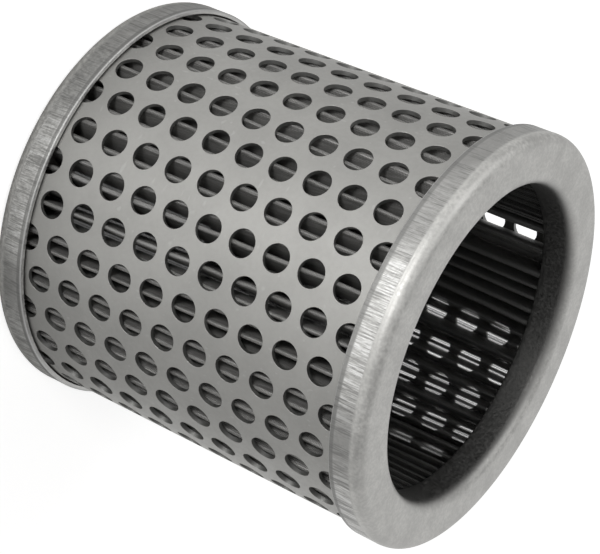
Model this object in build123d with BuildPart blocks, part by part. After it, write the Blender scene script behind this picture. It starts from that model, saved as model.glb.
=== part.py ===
from build123d import *
from math import acos, atan2, cos, hypot, radians, sin
import os

# Hydraulic filter element: a perforated steel tube round a pleated wire mesh, its two ends
# sunk in adhesive inside drawn channel-shaped end caps. Oil passes through the wall, and both
# caps leave the middle open. The element stands on its rear cap with +Z along its axis, and
# the origin is the centre of that cap's outer face. Sizes are in millimetres.

overall_length = 79.8

# Perforated tube
tube_diameter = 75.0
tube_wall = 0.8
hole_diameter = 5.0
hole_pitch = 7.0
row_angle = 10.86
row_count = 33
first_row = -13
first_hole_height = 2.75

# End caps, both drawn from the same sheet
cap_sheet = 0.8
cap_depth = 6.4
cap_corner = 1.9
cap_lip = 0.3
bore_diameter = 59.0
bore_roll = 2.0
skirt_clearance = 0.4

# Pleated mesh
pleat_count = 81
pleat_sheet = 0.4
pleat_bend = 0.3
first_pleat_angle = 2.0
pleat_tube_clearance = 0.1
pleat_collar_clearance = 0.2

# Adhesive in the caps
bed_depth = 3.0
bed_under_ends = 1.0

# Radii that follow from the sizes above
tube_radius = tube_diameter / 2
tube_bore_radius = tube_radius - tube_wall
skirt_bore_radius = tube_radius + skirt_clearance
skirt_radius = skirt_bore_radius + cap_sheet
bore_radius = bore_diameter / 2
collar_radius = bore_radius + cap_sheet
pleat_outer_radius = tube_bore_radius - pleat_tube_clearance
pleat_inner_radius = collar_radius + pleat_collar_clearance

# Heights of the parts that end inside the caps
end_margin = cap_sheet + bed_under_ends
bed_face = cap_sheet + bed_depth

# Half sections are drawn with x as the radius and y = 0 on the cap's outer face, y negative
# going into the element.
front_section = Plane(origin=(0, 0, overall_length), x_dir=(1, 0, 0), z_dir=(0, -1, 0))
rear_section = Plane(origin=(0, 0, 0), x_dir=(1, 0, 0), z_dir=(0, 1, 0))


def ring_section(inner, outer, top, bottom, mode=Mode.ADD):
    """Rectangle of a ring's half section between two radii and two depths."""
    with Locations(((inner + outer) / 2, (top + bottom) / 2)):
        Rectangle(outer - inner, top - bottom, mode=mode)


def end_cap(section):
    """Channel ring: skirt over the tube, flat face, and a mouth rolled into the collar."""
    with BuildPart() as cap:
        with BuildSketch(section) as outline:
            ring_section(bore_radius, skirt_radius, 0, -cap_depth)
            mouth, corner = outline.vertices().group_by(Axis.Y)[-1].sort_by(Axis.X)
            fillet(mouth, radius=bore_roll)
            fillet(corner, radius=cap_corner)
            with BuildSketch(mode=Mode.PRIVATE) as channel:
                ring_section(collar_radius, skirt_bore_radius, -cap_sheet, -2 * cap_depth)
                mouth, corner = channel.vertices().group_by(Axis.Y)[-1].sort_by(Axis.X)
                fillet(mouth, radius=bore_roll - cap_sheet)
                fillet(corner, radius=cap_corner - cap_sheet)
            add(channel.sketch, mode=Mode.SUBTRACT)
            ends = outline.vertices().group_by(Axis.Y)[0].sort_by(Axis.X)
            fillet([ends[0], ends[-1]], radius=cap_lip)
        revolve(axis=Axis.Z)
    return cap


def adhesive_bed(section):
    """Adhesive filling the cap's channel, with a groove that takes the tube's end."""
    with BuildPart() as bed:
        with BuildSketch(section) as outline:
            ring_section(collar_radius, skirt_bore_radius, -cap_sheet, -bed_face)
            mouth, corner = outline.vertices().group_by(Axis.Y)[-1].sort_by(Axis.X)
            fillet(mouth, radius=bore_roll - cap_sheet)
            fillet(corner, radius=cap_corner - cap_sheet)
            ring_section(tube_bore_radius, tube_radius, -end_margin, -bed_face, Mode.SUBTRACT)
        revolve(axis=Axis.Z)
    return bed


front_end_cap = end_cap(front_section)
front_end_cap.part.label = "front_end_cap"

rear_end_cap = end_cap(rear_section)
rear_end_cap.part.label = "rear_end_cap"

front_adhesive = adhesive_bed(front_section)
front_adhesive.part.label = "front_adhesive"

rear_adhesive = adhesive_bed(rear_section)
rear_adhesive.part.label = "rear_adhesive"


# Perforated tube. Rows of round holes run along the tube and every other row is shifted by
# half a pitch. The rows stop on both sides of the plain strip along the tube's seam, and the
# holes that the skirts would hide whole are left out.
def hole_heights(row):
    """Heights of the holes of one row that show between the two skirts."""
    low = cap_depth - hole_diameter / 2
    high = overall_length - cap_depth + hole_diameter / 2
    height = first_hole_height + (row % 2) * hole_pitch / 2
    heights = []
    while height < high:
        if height > low:
            heights.append(height)
        height += hole_pitch
    return heights


def wall_plane(row, height):
    """Plane in the middle of the tube's wall, facing outwards."""
    angle = radians(row * row_angle)
    outwards = Vector(cos(angle), sin(angle), 0)
    middle = outwards * (tube_radius - tube_wall / 2) + Vector(0, 0, height)
    return Plane(origin=middle, x_dir=(0, 0, 1), z_dir=outwards)


rows = range(first_row, first_row + row_count)
hole_planes = [wall_plane(row, height) for row in rows for height in hole_heights(row)]

with BuildPart() as perforated_tube:
    with BuildSketch(front_section):
        ring_section(tube_bore_radius, tube_radius, -end_margin, end_margin - overall_length)
    revolve(axis=Axis.Z)
    with Locations(*hole_planes):
        Cylinder(hole_diameter / 2, 3 * tube_wall, mode=Mode.SUBTRACT)
perforated_tube.part.label = "perforated_tube"


# Pleated mesh. Each pleat is two flat walls between a bend under the tube and a bend at the
# collar, and the walls are tangent to both bends.
def polar(radius, angle):
    """Point of the cross-section at a radius and an angle in radians."""
    return Vector(radius * cos(angle), radius * sin(angle))


pleat_step = radians(360 / pleat_count)
outer_centre_radius = pleat_outer_radius - pleat_sheet / 2 - pleat_bend
inner_centre_radius = pleat_inner_radius + pleat_sheet / 2 + pleat_bend
bend_offset = polar(inner_centre_radius, pleat_step / 2) - polar(outer_centre_radius, 0)
bend_distance = hypot(bend_offset.X, bend_offset.Y)
wall_normal = atan2(bend_offset.Y, bend_offset.X) - acos(2 * pleat_bend / bend_distance)


def pleat_outline(shift):
    """Closed outline of the folded sheet, moved outwards from its middle by the shift."""
    outer_bend = pleat_bend + shift
    inner_bend = pleat_bend - shift
    with BuildLine() as outline:
        for pleat in range(pleat_count):
            crest = radians(first_pleat_angle) + pleat * pleat_step
            valley = crest + pleat_step / 2
            following = crest + pleat_step
            outer_centre = polar(outer_centre_radius, crest)
            inner_centre = polar(inner_centre_radius, valley)
            rising = outer_centre + polar(outer_bend, crest - wall_normal)
            falling = outer_centre + polar(outer_bend, crest + wall_normal)
            foot = inner_centre - polar(inner_bend, crest + wall_normal)
            bottom = inner_centre - polar(inner_bend, valley)
            next_foot = inner_centre - polar(inner_bend, following - wall_normal)
            next_centre = polar(outer_centre_radius, following)
            next_rising = next_centre + polar(outer_bend, following - wall_normal)
            ThreePointArc(rising, outer_centre + polar(outer_bend, crest), falling)
            Line(falling, foot)
            ThreePointArc(foot, bottom, next_foot)
            Line(next_foot, next_rising)
    return outline


with BuildPart() as pleated_mesh:
    with BuildSketch(Plane.XY.offset(bed_face)):
        with BuildSketch(mode=Mode.PRIVATE) as outside:
            make_face(pleat_outline(pleat_sheet / 2).edges())
        with BuildSketch(mode=Mode.PRIVATE) as inside:
            make_face(pleat_outline(-pleat_sheet / 2).edges())
        add(outside.sketch)
        add(inside.sketch, mode=Mode.SUBTRACT)
    extrude(amount=overall_length - 2 * bed_face)
pleated_mesh.part.label = "pleated_mesh"


os.makedirs("parts", exist_ok=True)
export_step(front_end_cap.part, "parts/front_end_cap.step")
export_step(rear_end_cap.part, "parts/rear_end_cap.step")
export_step(front_adhesive.part, "parts/front_adhesive.step")
export_step(rear_adhesive.part, "parts/rear_adhesive.step")
export_step(perforated_tube.part, "parts/perforated_tube.step")
export_step(pleated_mesh.part, "parts/pleated_mesh.step")
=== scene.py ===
from math import acos, atan2, cos, hypot, pi, radians, sin

import bpy
from bpy.props import (
    FloatProperty,
    FloatVectorProperty,
    IntProperty,
    PointerProperty,
)
from mathutils import Euler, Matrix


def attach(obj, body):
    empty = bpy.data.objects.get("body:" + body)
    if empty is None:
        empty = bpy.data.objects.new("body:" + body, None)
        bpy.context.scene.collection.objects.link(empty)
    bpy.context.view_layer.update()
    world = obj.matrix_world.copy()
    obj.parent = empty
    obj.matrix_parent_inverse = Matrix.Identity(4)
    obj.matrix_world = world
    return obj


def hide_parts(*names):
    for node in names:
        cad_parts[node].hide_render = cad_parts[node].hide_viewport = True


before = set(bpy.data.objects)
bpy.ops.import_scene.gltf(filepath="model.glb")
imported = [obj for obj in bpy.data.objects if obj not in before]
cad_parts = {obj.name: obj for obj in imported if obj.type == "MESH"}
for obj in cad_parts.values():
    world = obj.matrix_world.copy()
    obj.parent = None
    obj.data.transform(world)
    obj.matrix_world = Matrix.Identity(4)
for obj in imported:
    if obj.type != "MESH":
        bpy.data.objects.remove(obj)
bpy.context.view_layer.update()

bl_info = {
    "name": "Hydraulic filter element",
    "version": (1, 0, 0),
    "blender": (4, 5, 0),
    "location": "View3D > Sidebar > Filter",
    "description": "Finished pieces, metals and studio for a pleated mesh filter element",
    "category": "Object",
}

MM = 0.001


# Nodes shared by the shader trees and the geometry trees

def add_node(tree, kind, inputs=None, **settings):
    """Adds a node, then sets or links its inputs by name or by number."""
    node = tree.nodes.new(kind)
    for name, value in settings.items():
        setattr(node, name, value)
    for name, value in (inputs or {}).items():
        socket = node.inputs[name]
        if isinstance(value, bpy.types.NodeSocket):
            tree.links.new(value, socket)
        else:
            socket.default_value = value
    return node


def math(tree, operation, a, b=0.0, c=0.0, clamp=False):
    """Math node on numbers or sockets."""
    node = add_node(tree, "ShaderNodeMath", {0: a, 1: b, 2: c}, operation=operation)
    node.use_clamp = clamp
    return node.outputs[0]


def ramp(tree, value, low, high, to_low=0.0, to_high=1.0):
    """Smooth step of a value between two limits."""
    node = add_node(
        tree,
        "ShaderNodeMapRange",
        {"Value": value, "From Min": low, "From Max": high, "To Min": to_low, "To Max": to_high},
        interpolation_type="SMOOTHSTEP",
    )
    return node.outputs[0]


def window(tree, value, low, high, edge):
    """One between two limits, falling to nought over the edge outside them."""
    rise = ramp(tree, value, low - edge, low)
    fall = ramp(tree, value, high, high + edge)
    return math(tree, "MULTIPLY", rise, math(tree, "SUBTRACT", 1.0, fall))


def mix_number(tree, factor, a, b):
    node = add_node(tree, "ShaderNodeMix", {0: factor, 2: a, 3: b}, data_type="FLOAT")
    return node.outputs[0]


def mix_colour(tree, factor, a, b, blend="MIX"):
    node = add_node(
        tree, "ShaderNodeMix", {0: factor, 6: a, 7: b}, data_type="RGBA", blend_type=blend
    )
    return node.outputs[2]


def noise(tree, vector, scale, detail=2.0, roughness=0.5):
    node = add_node(
        tree,
        "ShaderNodeTexNoise",
        {"Vector": vector, "Scale": scale, "Detail": detail, "Roughness": roughness},
    )
    return node.outputs[0]


def combine(tree, x, y, z):
    return add_node(tree, "ShaderNodeCombineXYZ", {0: x, 1: y, 2: z}).outputs[0]


def separate(tree, vector):
    return add_node(tree, "ShaderNodeSeparateXYZ", {0: vector}).outputs


# Shader groups: each gives values that vary over the surface

def shader_group(name, inputs, outputs):
    """New shader group with float or vector sockets, and its two ends."""
    tree = bpy.data.node_groups.new(name, "ShaderNodeTree")
    for socket, kind, default in inputs:
        made = tree.interface.new_socket(socket, in_out="INPUT", socket_type=kind)
        if default is not None:
            made.default_value = default
    for socket in outputs:
        tree.interface.new_socket(socket, in_out="OUTPUT", socket_type="NodeSocketFloat")
    return tree, tree.nodes.new("NodeGroupInput").outputs, tree.nodes.new("NodeGroupOutput").inputs


def group_round_axis():
    """Radius, height and arc coordinates round the element's axis, in millimetres."""
    tree, given, result = shader_group(
        "round_axis",
        [("Point", "NodeSocketVector", None), ("Arc Radius", "NodeSocketFloat", 37.5)],
        ("Radius", "Height", "Arc X", "Arc Y"),
    )
    point = separate(
        tree,
        add_node(
            tree, "ShaderNodeVectorMath", {0: given["Point"], 3: 1000.0}, operation="SCALE"
        ).outputs[0],
    )
    radius = math(
        tree,
        "SQRT",
        math(
            tree,
            "ADD",
            math(tree, "MULTIPLY", point[0], point[0]),
            math(tree, "MULTIPLY", point[1], point[1]),
        ),
    )
    turn = math(tree, "DIVIDE", given["Arc Radius"], math(tree, "MAXIMUM", radius, 0.01))
    links = tree.links
    links.new(radius, result["Radius"])
    links.new(point[2], result["Height"])
    links.new(math(tree, "MULTIPLY", point[0], turn), result["Arc X"])
    links.new(math(tree, "MULTIPLY", point[1], turn), result["Arc Y"])
    return tree


def group_draw_marks():
    """Short bright marks along the draw direction, with the pits between them."""
    tree, given, result = shader_group(
        "draw_marks",
        [
            ("Arc X", "NodeSocketFloat", 0.0),
            ("Arc Y", "NodeSocketFloat", 0.0),
            ("Along", "NodeSocketFloat", 0.0),
            ("Width", "NodeSocketFloat", 0.35),
            ("Length", "NodeSocketFloat", 2.5),
        ],
        ("Marks", "Relief"),
    )
    across = math(tree, "DIVIDE", 1.0, given["Width"])
    along = math(tree, "DIVIDE", given["Along"], given["Length"])
    place = combine(
        tree,
        math(tree, "MULTIPLY", given["Arc X"], across),
        math(tree, "MULTIPLY", given["Arc Y"], across),
        along,
    )
    fine = noise(tree, place, 1.0, 3.0, 0.65)
    coarse = noise(tree, place, 0.31, 2.0, 0.5)
    both = math(tree, "ADD", math(tree, "MULTIPLY", fine, 0.6), math(tree, "MULTIPLY", coarse, 0.4))
    tree.links.new(ramp(tree, both, 0.47, 0.62), result["Marks"])
    tree.links.new(both, result["Relief"])
    return tree


def group_fine_scratches():
    """Hair scratches in three directions."""
    tree, given, result = shader_group(
        "fine_scratches",
        [("Point", "NodeSocketVector", None), ("Scale", "NodeSocketFloat", 1.0)],
        ("Scratches",),
    )
    total = None
    for turn, stretch in ((0.35, 0.05), (1.45, 0.04), (2.5, 0.06)):
        turned = add_node(
            tree,
            "ShaderNodeMapping",
            {
                "Vector": given["Point"],
                "Rotation": (0.4 * turn, 0.7 * turn, turn),
                "Scale": (2600.0, 2600.0 * stretch, 900.0),
            },
        ).outputs[0]
        scaled = add_node(
            tree, "ShaderNodeVectorMath", {0: turned, 3: given["Scale"]}, operation="SCALE"
        ).outputs[0]
        lines = ramp(tree, noise(tree, scaled, 1.0, 1.0, 0.4), 0.72, 0.8)
        total = lines if total is None else math(tree, "MAXIMUM", total, lines)
    tree.links.new(total, result["Scratches"])
    return tree


def group_mottling():
    """Soft cloudy variation of a rolled or dulled surface."""
    tree, given, result = shader_group(
        "mottling",
        [("Point", "NodeSocketVector", None), ("Size", "NodeSocketFloat", 4.0)],
        ("Clouds", "Grains"),
    )
    scale = math(tree, "DIVIDE", 1000.0, given["Size"])
    tree.links.new(noise(tree, given["Point"], scale, 3.0, 0.55), result["Clouds"])
    grains = noise(tree, given["Point"], math(tree, "MULTIPLY", scale, 9.0), 2.0, 0.6)
    tree.links.new(grains, result["Grains"])
    return tree


GROUPS = {}


def use_group(tree, name, inputs):
    """Places a shader group in a tree and gives its outputs."""
    return add_node(tree, "ShaderNodeGroup", inputs, node_tree=GROUPS[name]).outputs


# Materials

def new_material(name):
    """Material with one Principled BSDF, and the sockets most recipes start from."""
    material = bpy.data.materials.new(name)
    material.use_nodes = True
    tree = material.node_tree
    tree.nodes.clear()
    shader = tree.nodes.new("ShaderNodeBsdfPrincipled")
    add_node(tree, "ShaderNodeOutputMaterial", {"Surface": shader.outputs[0]})
    point = tree.nodes.new("ShaderNodeTexCoord").outputs["Object"]
    return material, tree, shader, point


def shade(tree, shader, **values):
    """Sets or links the shader's own sockets."""
    for name, value in values.items():
        socket = shader.inputs[name.replace("_", " ")]
        if isinstance(value, bpy.types.NodeSocket):
            tree.links.new(value, socket)
        else:
            socket.default_value = value


def bump(tree, height, strength, distance):
    return add_node(
        tree,
        "ShaderNodeBump",
        {"Height": height, "Strength": strength, "Distance": distance},
    ).outputs[0]


def opaque(colour):
    return (colour[0], colour[1], colour[2], 1.0)


def cap_steel_material(settings):
    """Drawn steel: draw marks on the skirt with a painted highlight on one side, painted shade on the skirt, its
    open end, the rounded corner and in the mouth, and a dull face.
    """
    material, tree, shader, point = new_material("drawn_cap_steel")
    axis = use_group(tree, "round_axis", {"Point": point, "Arc Radius": 38.7})
    height = axis["Height"]
    total = settings.overall_length / MM
    depth = math(tree, "MINIMUM", height, math(tree, "SUBTRACT", total, height))
    clouds = use_group(tree, "mottling", {"Point": point, "Size": 5.0})
    marks = use_group(
        tree,
        "draw_marks",
        {"Arc X": axis["Arc X"], "Arc Y": axis["Arc Y"], "Along": height, "Width": 0.24, "Length": 3.2},
    )
    scratches = use_group(tree, "fine_scratches", {"Point": point, "Scale": 0.9})["Scratches"]
    on_skirt = ramp(tree, axis["Radius"], 38.2, 38.45)
    marked = math(tree, "MULTIPLY", on_skirt, window(tree, depth, 2.5, 5.2, 0.35))
    # Random worn patches, and two lobes round one side where the skirt is painted lighter and its marks get a
    # painted highlight.
    patches = ramp(tree, noise(tree, point, 55.0, 1.0, 0.5), 0.42, 0.62)
    wear_and_sheen = math(tree, "MULTIPLY", patches, 0.15)
    for side, wear in ((settings.sheen_side, 1.0), (settings.sheen_side + radians(56), 0.6)):
        near = math(
            tree,
            "ADD",
            math(tree, "MULTIPLY", axis["Arc X"], cos(side)),
            math(tree, "MULTIPLY", axis["Arc Y"], sin(side)),
        )
        wear_and_sheen = math(tree, "MAXIMUM", wear_and_sheen, ramp(tree, near, 34.6, 38.2, 0.0, wear))
    sparkle = math(tree, "MULTIPLY", math(tree, "MULTIPLY", marks["Marks"], marked), wear_and_sheen)
    skirt_shade = math(tree, "MULTIPLY", on_skirt, ramp(tree, depth, 1.9, 2.6))
    edge_band = math(tree, "MULTIPLY", on_skirt, ramp(tree, depth, 5.25, 5.6))
    corner = math(
        tree,
        "MULTIPLY",
        window(tree, axis["Radius"], 37.6, 38.9, 0.7),
        window(tree, depth, -0.5, 1.0, 0.8),
    )
    # Painted shade along the skirt's open end, where it meets the tube, and faintly on the rounded corner.
    dark = math(tree, "MAXIMUM", edge_band, math(tree, "MULTIPLY", corner, 0.1))
    inside = math(
        tree,
        "MULTIPLY",
        math(tree, "SUBTRACT", 1.0, ramp(tree, axis["Radius"], 29.6, 31.8)),
        ramp(tree, depth, -0.4, 1.5),
    )
    cut_end = ramp(tree, depth, 6.05, 6.35)
    tint = mix_colour(
        tree,
        ramp(tree, clouds["Clouds"], 0.3, 0.7),
        opaque([0.92 * c for c in settings.cap_colour]),
        opaque([1.06 * c for c in settings.cap_colour]),
    )
    # Painted shade: the skirt below the corner is darkened towards the edge colour, a little all round and more
    # away from the lit side.
    tint = mix_colour(
        tree,
        math(tree, "MULTIPLY", skirt_shade, mix_number(tree, wear_and_sheen, 0.5, 0.15)),
        tint,
        opaque(settings.cap_shade),
    )
    speckle = ramp(tree, clouds["Grains"], 0.35, 0.68)
    tint = mix_colour(
        tree,
        math(tree, "MULTIPLY", math(tree, "SUBTRACT", 1.0, speckle), 0.28),
        tint,
        opaque(settings.cap_shade),
    )
    tint = mix_colour(tree, math(tree, "MULTIPLY", dark, 0.55), tint, opaque(settings.cap_shade))
    flecks = math(
        tree, "MULTIPLY", math(tree, "SUBTRACT", 1.0, ramp(tree, marks["Relief"], 0.38, 0.5)), skirt_shade
    )
    tint = mix_colour(tree, math(tree, "MULTIPLY", flecks, 0.6), tint, opaque(settings.cap_shade))
    # Painted highlight: the draw marks on the lit side are lightened towards the bright colour.
    tint = mix_colour(tree, math(tree, "MULTIPLY", sparkle, 0.7), tint, opaque(settings.cap_bright))
    tint = mix_colour(tree, math(tree, "MULTIPLY", cut_end, 0.35), tint, opaque(settings.cap_bright))
    # Painted shade: the mouth's roll and collar are darkened to the collar colour, which varies with the grain.
    darkened = mix_colour(
        tree,
        ramp(tree, clouds["Grains"], 0.35, 0.75),
        opaque(settings.collar_colour),
        opaque([1.2 * c for c in settings.collar_colour]),
    )
    tint = mix_colour(tree, inside, tint, darkened)
    grains = ramp(tree, clouds["Grains"], 0.35, 0.7, -0.07, 0.09)
    rough = math(tree, "ADD", mix_number(tree, sparkle, 0.55, 0.3), grains)
    rough = math(tree, "SUBTRACT", rough, math(tree, "MULTIPLY", scratches, 0.12))
    relief = math(
        tree,
        "ADD",
        math(tree, "MULTIPLY", marks["Relief"], mix_number(tree, marked, 0.25, 1.0)),
        math(tree, "MULTIPLY", clouds["Grains"], 0.7),
    )
    relief = math(tree, "SUBTRACT", relief, math(tree, "MULTIPLY", scratches, 0.15))
    shade(
        tree,
        shader,
        Base_Color=tint,
        Metallic=1.0,
        Roughness=rough,
        Normal=bump(tree, relief, 0.45, 0.00012),
    )
    return material


def tube_steel_material(settings):
    """Satin sheet with faint clouds and hair scratches, and cut walls inside the holes."""
    material, tree, shader, point = new_material("satin_tube_steel")
    axis = use_group(tree, "round_axis", {"Point": point, "Arc Radius": 37.5})
    clouds = use_group(tree, "mottling", {"Point": point, "Size": 9.0})
    scratches = use_group(tree, "fine_scratches", {"Point": point, "Scale": 0.8})["Scratches"]
    outside = ramp(tree, axis["Radius"], 37.38, 37.48)
    tint = mix_colour(
        tree,
        ramp(tree, clouds["Clouds"], 0.3, 0.7),
        opaque([0.96 * c for c in settings.tube_colour]),
        opaque([1.04 * c for c in settings.tube_colour]),
    )
    tint = mix_colour(tree, outside, opaque(settings.cut_colour), tint)
    tint = mix_colour(tree, math(tree, "MULTIPLY", scratches, 0.1), tint, (0.7, 0.7, 0.69, 1.0))
    rough = math(
        tree, "ADD", ramp(tree, clouds["Grains"], 0.3, 0.7, 0.48, 0.56), math(tree, "MULTIPLY", scratches, -0.04)
    )
    relief = math(
        tree,
        "SUBTRACT",
        math(tree, "MULTIPLY", clouds["Grains"], 0.5),
        math(tree, "MULTIPLY", scratches, 0.4),
    )
    shade(
        tree,
        shader,
        Base_Color=tint,
        Metallic=1.0,
        Roughness=rough,
        Normal=bump(tree, relief, 0.12, 0.00005),
    )
    return material


def wire_mesh_material(settings):
    """Woven steel wire: open at the bends, closed where the walls are seen end on."""
    material, tree, shader, point = new_material("woven_wire_mesh")
    sheet = separate(
        tree,
        add_node(
            tree, "ShaderNodeAttribute", attribute_type="GEOMETRY", attribute_name="sheet_place"
        ).outputs["Vector"],
    )
    count = 1.0 / settings.wire_pitch
    along = math(tree, "MULTIPLY", sheet[0], count)
    upright = math(tree, "MULTIPLY", sheet[1], count)
    warp = math(tree, "ABSOLUTE", math(tree, "SUBTRACT", math(tree, "FRACT", along), 0.5))
    weft = math(tree, "ABSOLUTE", math(tree, "SUBTRACT", math(tree, "FRACT", upright), 0.5))
    wire = settings.wire_width / 2
    warp_wire = ramp(tree, warp, wire - 0.05, wire + 0.05, 1.0, 0.0)
    weft_wire = ramp(tree, weft, wire - 0.05, wire + 0.05, 1.0, 0.0)
    wires = math(tree, "MAXIMUM", warp_wire, weft_wire)
    bend = sheet[2]
    closed = mix_number(tree, ramp(tree, bend, 0.3, 0.85), settings.wall_cover, 0.18)
    closed = mix_number(tree, ramp(tree, bend, 0.92, 0.99), closed, 0.0)
    turned = separate(tree, point)
    front = ramp(
        tree,
        math(
            tree,
            "ADD",
            math(tree, "MULTIPLY", turned[0], 1000 * cos(settings.soiled_side)),
            math(tree, "MULTIPLY", turned[1], 1000 * sin(settings.soiled_side)),
        ),
        -14.0,
        4.0,
    )
    axis = use_group(tree, "round_axis", {"Point": point})
    closed_and_dimmed = math(tree, "MULTIPLY", front, settings.soiling)
    for side, low, high, cover in (
        (settings.closed_side, 14.0, 12.2, 1.0),
        (settings.closed_side + radians(26), 7.6, 6.6, 1.0),
        # Partly closed at the dim side, so the background seen through the mesh there is dimmer: painted shade
        # of the surface behind.
        (settings.dim_side, 34.0, 10.0, 0.32),
    ):
        near = math(
            tree,
            "ADD",
            math(tree, "MULTIPLY", axis["Arc X"], cos(side)),
            math(tree, "MULTIPLY", axis["Arc Y"], sin(side)),
        )
        patch = ramp(tree, near, 37.5 * cos(radians(low)), 37.5 * cos(radians(high)), 0.0, cover)
        closed_and_dimmed = math(tree, "MAXIMUM", closed_and_dimmed, patch)
    alpha = math(tree, "MAXIMUM", wires, math(tree, "MAXIMUM", closed, closed_and_dimmed))
    over = math(
        tree,
        "MULTIPLY",
        math(tree, "SINE", math(tree, "MULTIPLY", math(tree, "FLOOR", along), pi)),
        0.5,
    )
    clouds = use_group(tree, "mottling", {"Point": point, "Size": 3.0})
    streaks = noise(
        tree,
        combine(
            tree,
            math(
                tree,
                "ADD",
                math(tree, "MULTIPLY", sheet[0], 2200.0),
                math(tree, "MULTIPLY", sheet[1], 350.0),
            ),
            math(tree, "MULTIPLY", sheet[1], 160.0),
            0.0,
        ),
        1.0,
        2.0,
        0.6,
    )
    tint = mix_colour(
        tree,
        ramp(tree, streaks, 0.35, 0.68),
        opaque([0.62 * c for c in settings.wire_colour]),
        opaque([1.4 * c for c in settings.wire_colour]),
    )
    tint = mix_colour(tree, math(tree, "SUBTRACT", 1.0, wires), tint, opaque(settings.wire_shade))
    radius = axis["Radius"]
    # The outer crests are tinted towards the crest colour along the streaks.
    crest_band = math(tree, "MULTIPLY", ramp(tree, radius, 36.48, 36.58), ramp(tree, streaks, 0.2, 0.6))
    tint = mix_colour(tree, crest_band, tint, opaque(settings.crest_colour))
    # Painted shade: the folds darken towards the inner radius, deeper between the pleats.
    inward = math(tree, "SUBTRACT", 1.0, ramp(tree, radius, 31.5, 36.2))
    tint = mix_colour(tree, math(tree, "MULTIPLY", inward, 0.9), tint, opaque(settings.deep_fold_shade))
    relief = math(tree, "ADD", wires, over)
    shade(
        tree,
        shader,
        Base_Color=tint,
        Metallic=0.45,
        Roughness=ramp(tree, clouds["Grains"], 0.3, 0.7, 0.5, 0.62),
        Alpha=alpha,
        Normal=bump(tree, relief, 0.35, 0.00006),
    )
    return material


def adhesive_material(settings):
    """Dull cured adhesive with small pits."""
    material, tree, shader, point = new_material("cured_adhesive")
    clouds = use_group(tree, "mottling", {"Point": point, "Size": 2.0})
    tint = mix_colour(
        tree,
        ramp(tree, clouds["Clouds"], 0.3, 0.7),
        opaque([0.8 * c for c in settings.adhesive_colour]),
        opaque([1.2 * c for c in settings.adhesive_colour]),
    )
    shade(
        tree,
        shader,
        Base_Color=tint,
        Roughness=ramp(tree, clouds["Grains"], 0.3, 0.7, 0.5, 0.7),
        Normal=bump(tree, clouds["Grains"], 0.5, 0.0002),
    )
    return material


def floor_material(settings):
    """Pale floor: white to the camera and to reflections, and it keeps the shadow."""
    material, tree, shader, point = new_material("pale_floor")
    shade(tree, shader, Base_Color=opaque(settings.floor_colour), Roughness=0.9)
    shader.inputs["Specular IOR Level"].default_value = 0.0
    place = separate(tree, point)
    reach = math(
        tree,
        "SQRT",
        math(
            tree,
            "ADD",
            math(tree, "MULTIPLY", place[0], place[0]),
            math(tree, "MULTIPLY", place[1], place[1]),
        ),
    )
    toward = math(
        tree,
        "DIVIDE",
        math(
            tree,
            "ADD",
            math(tree, "MULTIPLY", place[0], cos(settings.lit_side)),
            math(tree, "MULTIPLY", place[1], sin(settings.lit_side)),
        ),
        math(tree, "MAXIMUM", reach, 0.001),
    )
    lit = math(
        tree, "MAXIMUM", ramp(tree, toward, 0.15, 0.75), ramp(tree, toward, -0.45, -0.7)
    )
    mirrored = math(
        tree,
        "MULTIPLY",
        mix_number(tree, lit, settings.floor_dim, settings.floor_glow),
        ramp(tree, reach, 0.038, 0.062),
    )
    rays = tree.nodes.new("ShaderNodeLightPath").outputs
    strength = math(
        tree,
        "MAXIMUM",
        math(
            tree,
            "MULTIPLY",
            math(tree, "MAXIMUM", rays["Is Camera Ray"], rays["Is Transmission Ray"]),
            settings.floor_glow,
        ),
        math(tree, "MULTIPLY", rays["Is Glossy Ray"], mirrored),
    )
    glow = add_node(
        tree, "ShaderNodeEmission", {"Color": (1.0, 1.0, 1.0, 1.0), "Strength": strength}
    )
    both = add_node(tree, "ShaderNodeAddShader", {0: shader.outputs[0], 1: glow.outputs[0]})
    output = next(n for n in tree.nodes if n.bl_idname == "ShaderNodeOutputMaterial")
    tree.links.new(both.outputs[0], output.inputs["Surface"])
    return material


# Meshes

def mesh_object(name, points, faces, material=None, smooth=True):
    """Linked mesh object at the origin."""
    mesh = bpy.data.meshes.new(name)
    mesh.from_pydata(points, [], faces)
    mesh.validate()
    if smooth:
        mesh.polygons.foreach_set("use_smooth", [True] * len(mesh.polygons))
    if material:
        mesh.materials.append(material)
    made = bpy.data.objects.new(name, mesh)
    bpy.context.scene.collection.objects.link(made)
    return made


def finished(made, node):
    """Puts the piece under the root body and hides the CAD node it stands for."""
    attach(made, "root")
    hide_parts(node)


def apply_modifiers(made):
    """Turns the modified object into a plain mesh with no modifier left."""
    graph = bpy.context.evaluated_depsgraph_get()
    result = bpy.data.meshes.new_from_object(made.evaluated_get(graph))
    result.name = made.name
    spare = made.data
    made.modifiers.clear()
    made.data = result
    bpy.data.meshes.remove(spare)


def set_inputs(modifier, values):
    """Sets a Geometry Nodes modifier's inputs through their identifiers."""
    for item in modifier.node_group.interface.items_tree:
        if item.item_type == "SOCKET" and item.in_out == "INPUT" and item.name in values:
            modifier[item.identifier] = values[item.name]


def geometry_group(name, inputs):
    """New geometry group with a geometry socket at both ends and named inputs."""
    tree = bpy.data.node_groups.new(name, "GeometryNodeTree")
    tree.interface.new_socket("Geometry", in_out="INPUT", socket_type="NodeSocketGeometry")
    for socket, kind in inputs:
        tree.interface.new_socket(socket, in_out="INPUT", socket_type=kind)
    tree.interface.new_socket("Geometry", in_out="OUTPUT", socket_type="NodeSocketGeometry")
    return tree, tree.nodes.new("NodeGroupInput").outputs, tree.nodes.new("NodeGroupOutput").inputs


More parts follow.
